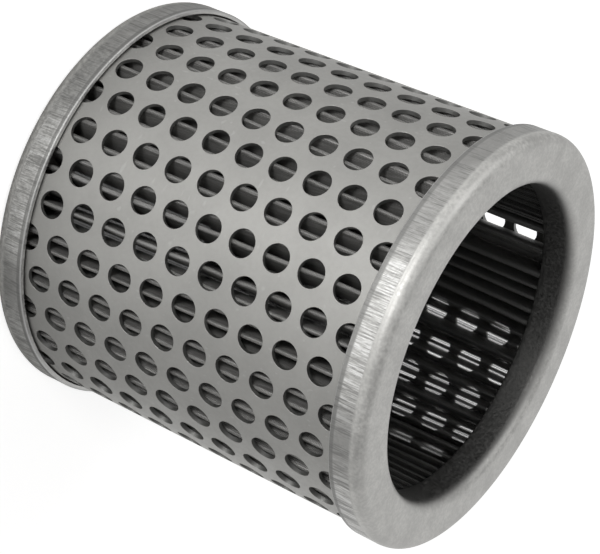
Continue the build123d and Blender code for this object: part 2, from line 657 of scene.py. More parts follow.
def sharp_edges(tree, geometry, angle):
    """Smooth faces with edges kept sharp above an angle."""
    faces = add_node(
        tree,
        "GeometryNodeSetShadeSmooth",
        {"Geometry": geometry, "Shade Smooth": True},
        domain="FACE",
    ).outputs[0]
    edge = tree.nodes.new("GeometryNodeInputMeshEdgeAngle").outputs[0]
    below = add_node(tree, "FunctionNodeCompare", {0: edge, 1: angle}, operation="LESS_THAN")
    return add_node(
        tree,
        "GeometryNodeSetShadeSmooth",
        {"Geometry": faces, "Shade Smooth": below.outputs[0]},
        domain="EDGE",
    ).outputs[0]


def transform(tree, geometry, position):
    return add_node(
        tree, "GeometryNodeSetPosition", {"Geometry": geometry, "Position": position}
    ).outputs[0]


def grid_columns(tree, columns, levels):
    """Grid whose vertices' column and level numbers come out as fields."""
    grid = add_node(
        tree,
        "GeometryNodeMeshGrid",
        {
            "Size X": math(tree, "SUBTRACT", columns, 1.0),
            "Size Y": math(tree, "SUBTRACT", levels, 1.0),
            "Vertices X": columns,
            "Vertices Y": levels,
        },
    ).outputs[0]
    place = separate(tree, tree.nodes.new("GeometryNodeInputPosition").outputs[0])
    half_x = math(tree, "MULTIPLY", math(tree, "SUBTRACT", columns, 1.0), 0.5)
    half_y = math(tree, "MULTIPLY", math(tree, "SUBTRACT", levels, 1.0), 0.5)
    column = math(tree, "ROUND", math(tree, "ADD", place[0], half_x))
    level = math(tree, "ROUND", math(tree, "ADD", place[1], half_y))
    return grid, column, level


CELL_SIDE = 6


def punched_cell(settings):
    """One cell of the sheet laid flat: a square with a punched hole, both faces and the wall.
    Its x runs round the tube, y runs up it and z is nought on the outer face."""
    width = settings.tube_radius * settings.row_angle
    height = settings.hole_pitch
    radius = settings.hole_diameter / 2
    wall = settings.tube_wall
    chamfer = settings.hole_chamfer
    sides = 4 * CELL_SIDE
    square = []
    for corner, (step_x, step_y) in enumerate(((0, 1), (-1, 0), (0, -1), (1, 0))):
        start_x, start_y = ((1, -1), (1, 1), (-1, 1), (-1, -1))[corner]
        for k in range(CELL_SIDE):
            part = 2 * k / CELL_SIDE
            square.append(((start_x + step_x * part) * width / 2, (start_y + step_y * part) * height / 2))
    angles = [atan2(-1, 1) + 2 * pi * k / sides for k in range(sides)]
    rings = [
        [(x, y, 0.0) for x, y in square],
        [((radius + chamfer) * cos(a), (radius + chamfer) * sin(a), 0.0) for a in angles],
        [(radius * cos(a), radius * sin(a), -chamfer) for a in angles],
        [(radius * cos(a), radius * sin(a), -wall) for a in angles],
        [(x, y, -wall) for x, y in square],
    ]
    points = [p for ring in rings for p in ring]
    faces = []
    for ring in range(len(rings) - 1):
        for k in range(sides):
            here, after = ring * sides + k, ring * sides + (k + 1) % sides
            faces.append((here, after, after + sides, here + sides))
    return points, faces


def perforated_tube_tree():
    """Sheet of punched cells with plain ends and a plain seam, wrapped into a tube."""
    tree, given, result = geometry_group(
        "wrapped_perforated_sheet",
        [
            ("Tube Radius", "NodeSocketFloat"),
            ("Wall", "NodeSocketFloat"),
            ("Row Angle", "NodeSocketFloat"),
            ("Rows", "NodeSocketInt"),
            ("First Row", "NodeSocketInt"),
            ("Holes per Row", "NodeSocketInt"),
            ("Hole Pitch", "NodeSocketFloat"),
            ("Odd Row Height", "NodeSocketFloat"),
            ("Bottom", "NodeSocketFloat"),
            ("Top", "NodeSocketFloat"),
            ("Cell Side", "NodeSocketInt"),
            ("Metal", "NodeSocketMaterial"),
        ],
    )
    radius, pitch, rows, side = given["Tube Radius"], given["Hole Pitch"], given["Rows"], given["Cell Side"]
    cell_width = math(tree, "MULTIPLY", radius, given["Row Angle"])
    half_pitch = math(tree, "MULTIPLY", pitch, 0.5)
    around = math(tree, "MULTIPLY", radius, 2 * pi)
    start = math(
        tree, "MULTIPLY", math(tree, "SUBTRACT", given["First Row"], 0.5), cell_width
    )
    punched_width = math(tree, "MULTIPLY", rows, cell_width)
    seam = math(tree, "SUBTRACT", around, punched_width)

    # Punched cells stand at their holes
    number = tree.nodes.new("GeometryNodeInputIndex").outputs[0]
    holes = given["Holes per Row"]
    row = math(tree, "FLOOR", math(tree, "DIVIDE", math(tree, "ADD", number, 0.25), holes))
    hole = math(tree, "SUBTRACT", number, math(tree, "MULTIPLY", row, holes))
    sheet_row = math(tree, "ADD", row, given["First Row"])
    odd = math(tree, "FLOORED_MODULO", sheet_row, 2.0)
    even_up = math(tree, "MULTIPLY", math(tree, "SUBTRACT", 1.0, odd), half_pitch)
    cell_y = math(
        tree,
        "ADD",
        math(tree, "ADD", given["Odd Row Height"], even_up),
        math(tree, "MULTIPLY", hole, pitch),
    )
    cells = add_node(
        tree,
        "GeometryNodePoints",
        {
            "Count": math(tree, "MULTIPLY", rows, holes),
            "Position": combine(tree, math(tree, "MULTIPLY", sheet_row, cell_width), cell_y, 0.0),
        },
    ).outputs[0]
    punched = add_node(
        tree, "GeometryNodeInstanceOnPoints", {"Points": cells, "Instance": given["Geometry"]}
    ).outputs[0]
    punched = add_node(tree, "GeometryNodeRealizeInstances", {"Geometry": punched}).outputs[0]

    # Plain sheet on the cells' own lattice, cut away where the punched cells are
    step = math(tree, "DIVIDE", pitch, side)
    low_edge = math(tree, "SUBTRACT", given["Odd Row Height"], half_pitch)
    lattice = math(
        tree, "ADD", math(tree, "MULTIPLY", holes, side), math(tree, "MULTIPLY", side, 0.5)
    )
    columns = math(tree, "ADD", math(tree, "MULTIPLY", rows, side), 3.0)
    levels = math(tree, "ADD", lattice, 3.0)
    grid, column, level = grid_columns(tree, columns, levels)
    on_rows = math(tree, "MINIMUM", column, math(tree, "MULTIPLY", rows, side))
    past_rows = math(tree, "SUBTRACT", column, on_rows)
    sheet_x = math(
        tree,
        "ADD",
        math(tree, "ADD", start, math(tree, "MULTIPLY", on_rows, math(tree, "DIVIDE", cell_width, side))),
        math(tree, "MULTIPLY", past_rows, math(tree, "MULTIPLY", seam, 0.5)),
    )
    inner_y = math(
        tree, "ADD", low_edge, math(tree, "MULTIPLY", math(tree, "SUBTRACT", level, 1.0), step)
    )
    is_bottom = math(tree, "LESS_THAN", level, 0.5)
    is_top = math(tree, "GREATER_THAN", level, math(tree, "ADD", lattice, 1.5))
    sheet_y = mix_number(tree, is_top, mix_number(tree, is_bottom, inner_y, given["Bottom"]), given["Top"])
    plain = transform(tree, grid, combine(tree, sheet_x, sheet_y, 0.0))
    place = separate(tree, tree.nodes.new("GeometryNodeInputPosition").outputs[0])
    face_row = math(
        tree, "FLOOR", math(tree, "ADD", math(tree, "DIVIDE", place[0], cell_width), 0.5)
    )
    face_odd = math(tree, "FLOORED_MODULO", face_row, 2.0)
    face_low = math(
        tree,
        "ADD",
        low_edge,
        math(tree, "MULTIPLY", math(tree, "SUBTRACT", 1.0, face_odd), half_pitch),
    )
    face_high = math(tree, "ADD", face_low, math(tree, "MULTIPLY", holes, pitch))
    within = math(
        tree,
        "MULTIPLY",
        math(tree, "GREATER_THAN", place[1], face_low),
        math(tree, "LESS_THAN", place[1], face_high),
    )
    in_rows = math(tree, "LESS_THAN", place[0], math(tree, "ADD", start, punched_width))
    cut = math(tree, "MULTIPLY", within, in_rows)
    plain = add_node(
        tree,
        "GeometryNodeDeleteGeometry",
        {"Geometry": plain, "Selection": math(tree, "GREATER_THAN", cut, 0.5)},
        domain="FACE",
    ).outputs[0]
    inward = combine(tree, 0.0, 0.0, math(tree, "MULTIPLY", given["Wall"], -1.0))
    lining = add_node(
        tree, "GeometryNodeSetPosition", {"Geometry": plain, "Offset": inward}
    ).outputs[0]
    lining = add_node(tree, "GeometryNodeFlipFaces", {"Mesh": lining}).outputs[0]

    # Cut ends of the tube
    parts = [punched, plain, lining]
    for end, flipped in (("Bottom", False), ("Top", True)):
        strip, end_column, layer = grid_columns(tree, columns, 2)
        on_rows = math(tree, "MINIMUM", end_column, math(tree, "MULTIPLY", rows, side))
        past_rows = math(tree, "SUBTRACT", end_column, on_rows)
        end_x = math(
            tree,
            "ADD",
            math(tree, "ADD", start, math(tree, "MULTIPLY", on_rows, math(tree, "DIVIDE", cell_width, side))),
            math(tree, "MULTIPLY", past_rows, math(tree, "MULTIPLY", seam, 0.5)),
        )
        end_z = math(
            tree,
            "MULTIPLY",
            math(tree, "SUBTRACT", layer, 1.0),
            given["Wall"],
        )
        strip = transform(tree, strip, combine(tree, end_x, given[end], end_z))
        if flipped:
            strip = add_node(tree, "GeometryNodeFlipFaces", {"Mesh": strip}).outputs[0]
        parts.append(strip)
    joined = tree.nodes.new("GeometryNodeJoinGeometry")
    for part in reversed(parts):
        tree.links.new(part, joined.inputs[0])

    # Wrapped round the axis
    flat = separate(tree, tree.nodes.new("GeometryNodeInputPosition").outputs[0])
    turn = math(tree, "DIVIDE", flat[0], radius)
    reach = math(tree, "ADD", radius, flat[2])
    wrapped = transform(
        tree,
        joined.outputs[0],
        combine(
            tree,
            math(tree, "MULTIPLY", reach, math(tree, "COSINE", turn)),
            math(tree, "MULTIPLY", reach, math(tree, "SINE", turn)),
            flat[1],
        ),
    )
    merged = add_node(
        tree, "GeometryNodeMergeByDistance", {"Geometry": wrapped, "Distance": 2e-6}
    ).outputs[0]
    shaded = sharp_edges(tree, merged, radians(30))
    real = add_node(tree, "GeometryNodeRealizeInstances", {"Geometry": shaded}).outputs[0]
    done = add_node(
        tree, "GeometryNodeSetMaterial", {"Geometry": real, "Material": given["Metal"]}
    ).outputs[0]
    tree.links.new(done, result[0])
    return tree


def pleat_line(settings):
    """Middle line of one pleat from valley to valley, its crest on the x axis.
    Gives each point with how much it belongs to a bend."""
    step = 2 * pi / settings.pleat_count
    bend = settings.pleat_bend
    outer = settings.pleat_outer_radius - settings.pleat_sheet / 2 - bend
    inner = settings.pleat_inner_radius + settings.pleat_sheet / 2 + bend
    foot = (inner * cos(step / 2), inner * sin(step / 2))
    away = (foot[0] - outer, foot[1])
    normal = atan2(away[1], away[0]) - acos(2 * bend / hypot(*away))
    right = []
    for k in range(4):
        turn = normal * k / 3
        right.append((outer + bend * cos(turn), bend * sin(turn), 0.9))
    end = right[-1]
    start = (foot[0] - bend * cos(normal), foot[1] - bend * sin(normal))
    for part, mask in ((0.12, 0.45), (0.5, 0.0), (0.88, 0.45)):
        right.append((end[0] + (start[0] - end[0]) * part, end[1] + (start[1] - end[1]) * part, mask))
    for k in range(4):
        turn = normal + (step / 2 - normal) * k / 3
        right.append((foot[0] - bend * cos(turn), foot[1] - bend * sin(turn), 1.0))
    left = [(x, -y, mask) for x, y, mask in right[:0:-1]]
    return left + right


def pleated_mesh_tree(stations):
    """Folded sheet from one pleat's line, a little uneven and spread at one place."""
    tree, given, result = geometry_group(
        "pleated_wire_sheet",
        [
            ("Pleats", "NodeSocketInt"),
            ("First Pleat", "NodeSocketFloat"),
            ("Bottom", "NodeSocketFloat"),
            ("Top", "NodeSocketFloat"),
            ("Levels", "NodeSocketInt"),
            ("Unevenness", "NodeSocketFloat"),
            ("Waviness", "NodeSocketFloat"),
            ("Seed", "NodeSocketFloat"),
            ("Spread Angle", "NodeSocketFloat"),
            ("Spread", "NodeSocketFloat"),
            ("Spread Shift", "NodeSocketFloat"),
            ("Spread Lean", "NodeSocketFloat"),
            ("Open Crest", "NodeSocketFloat"),
            ("Gather", "NodeSocketFloat"),
            ("Gather Slope", "NodeSocketFloat"),
            ("Hang", "NodeSocketFloat"),
            ("Hang Angle", "NodeSocketFloat"),
            ("Low Place", "NodeSocketFloat"),
            ("Low Lean", "NodeSocketFloat"),
            ("Inner Radius", "NodeSocketFloat"),
            ("Outer Radius", "NodeSocketFloat"),
            ("Metal", "NodeSocketMaterial"),
        ],
    )
    pleats, bottom, top = given["Pleats"], given["Bottom"], given["Top"]
    columns = math(tree, "ADD", math(tree, "MULTIPLY", pleats, stations), 1.0)
    grid, column, level = grid_columns(tree, columns, given["Levels"])
    stored = add_node(
        tree,
        "GeometryNodeStoreNamedAttribute",
        {"Geometry": grid, "Name": "column_number", "Value": column},
        data_type="FLOAT",
        domain="POINT",
    ).outputs[0]
    stored = add_node(
        tree,
        "GeometryNodeStoreNamedAttribute",
        {"Geometry": stored, "Name": "level_number", "Value": level},
        data_type="FLOAT",
        domain="POINT",
    ).outputs[0]
    column = add_node(
        tree, "GeometryNodeInputNamedAttribute", {"Name": "column_number"}, data_type="FLOAT"
    ).outputs[0]
    level = add_node(
        tree, "GeometryNodeInputNamedAttribute", {"Name": "level_number"}, data_type="FLOAT"
    ).outputs[0]
    pleat = math(
        tree, "FLOOR", math(tree, "DIVIDE", math(tree, "ADD", column, 0.5), stations)
    )
    station = math(tree, "SUBTRACT", column, math(tree, "MULTIPLY", pleat, stations))

    # The pleat's line is the input mesh, one vertex per station
    def sample(value_node, data_type):
        node = add_node(
            tree,
            "GeometryNodeSampleIndex",
            {"Geometry": given["Geometry"], "Value": value_node, "Index": station},
            data_type=data_type,
            domain="POINT",
        )
        return node.outputs[0]

    line_place = sample(tree.nodes.new("GeometryNodeInputPosition").outputs[0], "FLOAT_VECTOR")
    bend = sample(
        add_node(
            tree, "GeometryNodeInputNamedAttribute", {"Name": "bend"}, data_type="FLOAT"
        ).outputs[0],
        "FLOAT",
    )
    length = sample(
        add_node(
            tree, "GeometryNodeInputNamedAttribute", {"Name": "length"}, data_type="FLOAT"
        ).outputs[0],
        "FLOAT",
    )
    whole = sample(
        add_node(
            tree, "GeometryNodeInputNamedAttribute", {"Name": "whole_length"}, data_type="FLOAT"
        ).outputs[0],
        "FLOAT",
    )
    place = separate(tree, line_place)
    step = math(tree, "DIVIDE", 2 * pi, pleats)
    height = math(
        tree,
        "ADD",
        bottom,
        math(
            tree,
            "MULTIPLY",
            math(tree, "SUBTRACT", top, bottom),
            math(tree, "DIVIDE", level, math(tree, "SUBTRACT", given["Levels"], 1.0)),
        ),
    )
    turn = math(
        tree, "ADD", math(tree, "MULTIPLY", pleat, step), given["First Pleat"]
    )
    own_turn = math(tree, "ARCTAN2", place[1], place[0])
    full_turn = math(tree, "ADD", turn, own_turn)

    # Uneven folding fades out where the sheet's two ends meet
    progress = math(tree, "DIVIDE", column, math(tree, "SUBTRACT", columns, 1.0))
    fade = math(
        tree,
        "MULTIPLY",
        ramp(tree, progress, 0.0, 0.03),
        math(tree, "SUBTRACT", 1.0, ramp(tree, progress, 0.97, 1.0)),
    )
    folds = add_node(
        tree,
        "ShaderNodeTexNoise",
        {
            "Vector": combine(
                tree,
                math(tree, "MULTIPLY", progress, math(tree, "MULTIPLY", pleats, 0.7)),
                0.0,
                given["Seed"],
            ),
            "Scale": 1.0,
            "Detail": 1.0,
        },
    ).outputs[0]
    waves = add_node(
        tree,
        "ShaderNodeTexNoise",
        {
            "Vector": combine(
                tree,
                math(tree, "MULTIPLY", progress, math(tree, "MULTIPLY", pleats, 0.9)),
                math(tree, "MULTIPLY", height, 90.0),
                math(tree, "ADD", given["Seed"], 7.0),
            ),
            "Scale": 1.0,
            "Detail": 1.0,
        },
    ).outputs[0]
    shift = math(
        tree,
        "ADD",
        math(tree, "MULTIPLY", math(tree, "SUBTRACT", folds, 0.5), given["Unevenness"]),
        math(tree, "MULTIPLY", math(tree, "SUBTRACT", waves, 0.5), given["Waviness"]),
    )
    shift = math(tree, "MULTIPLY", shift, fade)
    up_middle = math(
        tree, "SUBTRACT", height, math(tree, "MULTIPLY", math(tree, "ADD", bottom, top), 0.5)
    )
    gather = math(
        tree,
        "MULTIPLY",
        math(tree, "SINE", math(tree, "MULTIPLY", full_turn, 4.0)),
        math(
            tree,
            "ADD",
            given["Gather"],
            math(tree, "MULTIPLY", given["Gather Slope"], up_middle),
        ),
    )
    shift = math(tree, "ADD", shift, gather)

    # Neighbours of the spread place stand away from it, and their valleys lean
    reach = math(
        tree,
        "SQRT",
        math(
            tree,
            "ADD",
            math(tree, "MULTIPLY", place[0], place[0]),
            math(tree, "MULTIPLY", place[1], place[1]),
        ),
    )
    inward = ramp(tree, reach, given["Outer Radius"], given["Inner Radius"])
    from_spread = math(tree, "SUBTRACT", full_turn, given["Spread Angle"])
    stored = add_node(
        tree,
        "GeometryNodeStoreNamedAttribute",
        {"Geometry": stored, "Name": "opening", "Value": math(tree, "ABSOLUTE", from_spread)},
        data_type="FLOAT",
        domain="POINT",
    ).outputs[0]
    side = math(tree, "DIVIDE", from_spread, step)
    bell = math(tree, "EXPONENT", math(tree, "MULTIPLY", math(tree, "MULTIPLY", side, side), -0.5))
    wide_side = math(
        tree, "MULTIPLY", side, mix_number(tree, math(tree, "GREATER_THAN", side, 0.0), 1.0, 0.33)
    )
    wide_bell = math(
        tree, "EXPONENT", math(tree, "MULTIPLY", math(tree, "MULTIPLY", wide_side, wide_side), -0.5)
    )
    apart = math(tree, "MULTIPLY", from_spread, given["Spread"])
    apart = math(tree, "MULTIPLY", math(tree, "ADD", apart, given["Spread Shift"]), bell)
    lean = math(
        tree, "MULTIPLY", math(tree, "MULTIPLY", inward, given["Spread Lean"]), wide_bell
    )
    hang = math(
        tree,
        "MULTIPLY",
        given["Hang"],
        math(
            tree,
            "MAXIMUM",
            math(tree, "COSINE", math(tree, "SUBTRACT", full_turn, given["Hang Angle"])),
            0.0,
        ),
    )
    low_side = math(
        tree, "DIVIDE", math(tree, "SUBTRACT", full_turn, given["Low Place"]), radians(18)
    )
    low_bell = math(
        tree, "EXPONENT", math(tree, "MULTIPLY", math(tree, "MULTIPLY", low_side, low_side), -0.5)
    )
    hang = math(tree, "ADD", hang, math(tree, "MULTIPLY", given["Low Lean"], low_bell))
    local = math(tree, "ADD", math(tree, "ADD", apart, lean), math(tree, "MULTIPLY", hang, inward))
    final_turn = math(tree, "ADD", full_turn, math(tree, "ADD", shift, local))
    folded = transform(
        tree,
        stored,
        combine(
            tree,
            math(tree, "MULTIPLY", reach, math(tree, "COSINE", final_turn)),
            math(tree, "MULTIPLY", reach, math(tree, "SINE", final_turn)),
            height,
        ),
    )
    run = math(tree, "ADD", math(tree, "MULTIPLY", pleat, whole), length)
    labelled = add_node(
        tree,
        "GeometryNodeStoreNamedAttribute",
        {"Geometry": folded, "Name": "sheet_place", "Value": combine(tree, run, height, bend)},
        data_type="FLOAT_VECTOR",
        domain="POINT",
    ).outputs[0]
    labelled = add_node(
        tree,
        "GeometryNodeDeleteGeometry",
        {
            "Geometry": labelled,
            "Selection": math(
                tree,
                "LESS_THAN",
                add_node(
                    tree, "GeometryNodeInputNamedAttribute", {"Name": "opening"}, data_type="FLOAT"
                ).outputs[0],
                given["Open Crest"],
            ),
        },
        domain="FACE",
    ).outputs[0]
    merged = add_node(
        tree, "GeometryNodeMergeByDistance", {"Geometry": labelled, "Distance": 2e-6}
    ).outputs[0]
    for spare in ("column_number", "level_number", "opening"):
        merged = add_node(
            tree, "GeometryNodeRemoveAttribute", {"Geometry": merged, "Name": spare}
        ).outputs[0]
    smooth = add_node(
        tree, "GeometryNodeSetShadeSmooth", {"Geometry": merged, "Shade Smooth": True}
    ).outputs[0]
    real = add_node(tree, "GeometryNodeRealizeInstances", {"Geometry": smooth}).outputs[0]
    done = add_node(
        tree, "GeometryNodeSetMaterial", {"Geometry": real, "Material": given["Metal"]}
    ).outputs[0]
    tree.links.new(done, result[0])
    return tree


def arc(centre, radius, start, end, steps):
    """Points of an arc in the section plane, angles in degrees."""
    return [
        (
            centre[0] + radius * cos(radians(start + (end - start) * k / steps)),
            centre[1] + radius * sin(radians(start + (end - start) * k / steps)),
        )
        for k in range(steps + 1)
    ]


def straight(start, end, steps):
    """Points between two ends, without the ends."""
    return [
        (start[0] + (end[0] - start[0]) * k / steps, start[1] + (end[1] - start[1]) * k / steps)
        for k in range(1, steps)
    ]


def cap_section(settings):
    """Closed half section of a cap, as radius and depth below the outer face."""
    sheet, depth, lip = settings.cap_sheet, settings.cap_depth, settings.cap_lip
    skirt = settings.skirt_radius
    bore = settings.bore_radius
    roll, corner = settings.bore_roll, settings.cap_corner
    inset = settings.skirt_inset
    outer = skirt - inset
    line = arc((outer - lip, depth - lip), lip, 90, 0, 4)
    line += straight((outer, depth - lip), (outer, corner + 0.35 * MM), 6)
    for k in range(9):
        rise = 0.5 - 0.5 * cos(2 * pi * k / 8)
        line.append((outer + inset * rise, corner + 0.6 * MM * (1 - k / 8)))
    line += arc((outer - corner, corner), corner, -5, -90, 12)
    line += straight((outer - corner, 0), (bore + roll, 0), 8)
    line += arc((bore + roll, roll), roll, -90, -180, 12)
    line += straight((bore, roll), (bore, depth - lip), 5)
    line += arc((bore + lip, depth - lip), lip, 180, 90, 4)
    line += straight((bore + lip, depth), (bore + sheet, depth), 1)
    line += [(bore + sheet, depth)]
    line += straight((bore + sheet, depth), (bore + sheet, roll), 2)
    line += arc((bore + roll, roll), roll - sheet, 180, 270, 6)
    line += arc((outer - corner, corner), corner - sheet, -90, 0, 6)
    line += [(outer - sheet, depth)]
    return line


def revolved(section, steps, dent):
    """Points and outward faces of a closed section turned round the axis, with small dents."""
    points, faces = [], []
    count = len(section)
    for k in range(steps):
        turn = 2 * pi * k / steps
        for radius, height in section:
            reach = radius - dent(turn, radius, height)
            points.append((reach * cos(turn), reach * sin(turn), height))
    for k in range(steps):
        after = (k + 1) % steps
        for i in range(count):
            j = (i + 1) % count
            faces.append((k * count + i, after * count + i, after * count + j, k * count + j))
    return points, faces


# Settings

def length(name, description, millimetres):
    return FloatProperty(
        name=name,
        description=description,
        default=millimetres * MM,
        unit="LENGTH",
        subtype="DISTANCE",
        precision=5,
    )


def turn(name, description, degrees):
    return FloatProperty(
        name=name, description=description, default=radians(degrees), subtype="ANGLE", unit="ROTATION"
    )


def colour(name, description, value):
    return FloatVectorProperty(
        name=name, description=description, default=value, size=3, subtype="COLOR", min=0.0, max=1.0
    )


class FilterCapSettings(bpy.types.PropertyGroup):
    """Sizes and colours of the two end caps."""

    overall_length: length("Overall length", "Height over both caps", 79.8)
    cap_sheet: length("Sheet", "Thickness of the caps' sheet", 0.8)
    cap_depth: length("Depth", "Depth of skirt and collar", 6.4)
    cap_corner: length("Corner", "Rounding between face and skirt", 1.9)
    cap_lip: length("Lip", "Rounding at the cut ends", 0.3)
    bore_radius: length("Bore radius", "Radius of the mouth's collar", 29.5)
    bore_roll: length("Mouth roll", "Radius of the rolled mouth", 2.0)
    skirt_radius: length("Skirt radius", "Outer radius of the skirt", 38.7)
    skirt_inset: length("Skirt inset", "How far the skirt lies inside its ridge", 0.03)
    cap_colour: colour("Steel", "Dull face of the caps", (0.53, 0.525, 0.507))
    cap_shade: colour("Edges", "Darker rounded edges", (0.16, 0.16, 0.156))
    # Colour of the painted shade in the mouth's roll and collar.
    collar_colour: colour("Collar", "Dark inner wall of the mouth", (0.125, 0.124, 0.12))
    # Side where the skirts are painted lighter and their marks get a painted highlight.
    sheen_side: turn("Sheen side", "Direction of the skirts' brightest marks", 19.0)
    # Colour of the painted highlight on the draw marks, and of the bright cut end.
    cap_bright: colour("Marks", "Bright draw marks", (0.86, 0.86, 0.85))
    adhesive_colour: colour("Adhesive", "Cured adhesive in the caps", (0.16, 0.15, 0.135))


class FilterTubeSettings(bpy.types.PropertyGroup):
    """Sizes and colours of the perforated tube."""

    tube_radius: length("Radius", "Outer radius of the tube", 37.5)
    tube_wall: length("Wall", "Thickness of the sheet", 0.8)
    hole_diameter: length("Hole", "Diameter of the punched holes", 5.0)
    hole_pitch: length("Pitch", "Distance of the holes in a row", 7.0)
    hole_chamfer: length("Rim", "Worn edge of the holes", 0.03)
    odd_row_height: length("First hole", "Lowest hole of the odd rows", 6.25)
    end_margin: length("End margin", "Distance of the tube's ends from the caps' faces", 1.8)
    row_angle: FloatProperty(
        name="Row angle",
        description="Turn from one row to the next",
        default=radians(10.86),
        subtype="ANGLE",
        unit="ROTATION",
    )
    rows: IntProperty(name="Rows", description="Rows of holes round the tube", default=33, min=3)
    first_row: IntProperty(name="First row", description="Number of the first row", default=-13)
    holes: IntProperty(name="Holes per row", description="Holes along the tube", default=10, min=1)
    tube_colour: colour("Steel", "Satin outer face", (0.328, 0.325, 0.312))
    cut_colour: colour("Cut walls", "Punched walls and inner face", (0.24, 0.24, 0.232))


class FilterMeshSettings(bpy.types.PropertyGroup):
    """Sizes and colours of the pleated wire mesh."""

    pleat_outer_radius: length("Outer radius", "Radius over the crests", 36.6)
    pleat_inner_radius: length("Inner radius", "Radius inside the valleys", 30.5)
    pleat_sheet: length("Sheet", "Thickness of the mesh", 0.3)
    pleat_bend: length("Bend", "Radius of the folds' middle line", 0.3)
    bed_face: length("Ends", "Distance of the mesh's ends from the caps' faces", 3.8)
    pleat_count: IntProperty(name="Pleats", description="Pleats round the element", default=81, min=12)
    levels: IntProperty(name="Levels", description="Divisions along the pleats", default=19, min=2)
    first_pleat: FloatProperty(
        name="First pleat",
        description="Turn of the first crest",
        default=radians(2.0),
        subtype="ANGLE",
        unit="ROTATION",
    )
    unevenness: FloatProperty(
        name="Unevenness",
        description="How much the folds stray from their even places",
        default=radians(1.6),
        subtype="ANGLE",
        unit="ROTATION",
    )
    waviness: FloatProperty(
        name="Waviness",
        description="How much the folds wander along their length",
        default=radians(0.9),
        subtype="ANGLE",
        unit="ROTATION",
    )
    spread_angle: FloatProperty(
        name="Spread at",
        description="Where two pleats stand further apart",
        default=radians(228.7),
        subtype="ANGLE",
        unit="ROTATION",
    )
    spread: FloatProperty(
        name="Spread",
        description="How far they stand apart, as a share of their distance",
        default=1.15,
        min=0.0,
        max=2.0,
    )
    spread_lean: FloatProperty(
        name="Lean",
        description="Turn of the valleys beside the spread place against its crests",
        default=radians(7.0),
        subtype="ANGLE",
        unit="ROTATION",
    )
    spread_shift: turn("Spread shift", "How far the spread place is pushed round", 0.85)
    open_crest: turn("Open crest", "Half width of the crest that stands open at the spread place", 0.8)
    gather: turn("Gather", "How far the folds drift together and apart round the element", 1.2)
    gather_slope: turn("Gather slope", "How much less they do so at the front end", -2.05)
    hang: turn("Hang", "How far the valleys hang round to one side of their crests", 1.57)
    hang_angle: turn("Hang at", "Where the hanging is greatest", 21.7)
    low_place: turn("Low place", "Where the valleys lean the other way", 155.0)
    low_lean: turn("Low lean", "How far they lean there", -5.0)
    wire_pitch: length("Wire pitch", "Distance of the wires", 0.3)
    wire_width: FloatProperty(
        name="Wire width",
        description="Share of the pitch that a wire covers",
        default=0.2,
        min=0.05,
        max=0.95,
        subtype="FACTOR",
    )
    wall_cover: FloatProperty(
        name="Wall cover",
        description="How closed the pleats' walls look",
        default=1.0,
        min=0.0,
        max=1.0,
        subtype="FACTOR",
    )
    wire_colour: colour("Wire", "Steel wires", (0.36, 0.355, 0.343))
    wire_shade: colour("Gaps", "Darker gaps of the weave", (0.26, 0.257, 0.247))
    # Tint along the outer crests.
    crest_colour: colour("Crests", "Rubbed outer folds", (0.3, 0.296, 0.287))
    # Colour of the painted shade deep in the folds.
    deep_fold_shade: colour("Inner folds", "Oily inner folds", (0.16, 0.16, 0.155))
    soiling: FloatProperty(
        name="Soiling",
        description="How far the soiled side's bends are closed",
        default=0.6,
        min=0.0,
        max=1.0,
        subtype="FACTOR",
    )
    closed_side: turn("Closed side", "Direction where the mesh lets no light through", 213.0)
    # Painted shade: the mesh there lets less of the background through.
    dim_side: turn("Dim side", "Direction where it lets little light through", 132.0)
    soiled_side: FloatProperty(
        name="Soiled side",
        description="Direction of the side whose bends are more closed",
        default=radians(10.0),
        subtype="ANGLE",
        unit="ROTATION",
    )


class FilterStageSettings(bpy.types.PropertyGroup):
    """Camera, lamps and floor."""

    lens: FloatProperty(name="Lens", description="Focal length", default=113.711, subtype="DISTANCE_CAMERA")
    camera_place: FloatVectorProperty(
        name="Camera",
        description="Where the camera stands",
        default=(0.30046867, 0.05448323, 0.20440809),
        subtype="TRANSLATION",
        unit="LENGTH",
    )
    camera_turn: FloatVectorProperty(
        name="Camera turn",
        description="How the camera is turned",
        default=(radians(-36.80794), radians(-53.79831), radians(-127.22751)),
        subtype="EULER",
        unit="ROTATION",
    )
    fill: FloatProperty(name="Fill", description="Light of the surroundings", default=0.35, min=0.0)
    key: FloatProperty(name="Key", description="Power of the main softbox in watts", default=1.1, min=0.0)
    rim: FloatProperty(name="Top", description="Power of the top softbox in watts", default=0.8, min=0.0)
    floor_colour: colour("Floor", "Pale floor", (0.75, 0.75, 0.745))
    floor_glow: FloatProperty(
        name="Floor white",
        description="How far the floor is lifted to white where it is seen",
        default=0.72,
        min=0.0,
    )
    floor_dim: FloatProperty(
        name="Floor dim",
        description="The same where the metal mirrors the floor off its lit side",
        default=0.43,
        min=0.0,
    )
    side_dim: FloatProperty(
        name="Sides dim",
        description="How white the surroundings are mirrored off the lit side",
        default=0.5,
        min=0.0,
        max=1.0,
    )
    lit_side: turn("Lit side", "Direction of the lit side", -12.0)


# Operators

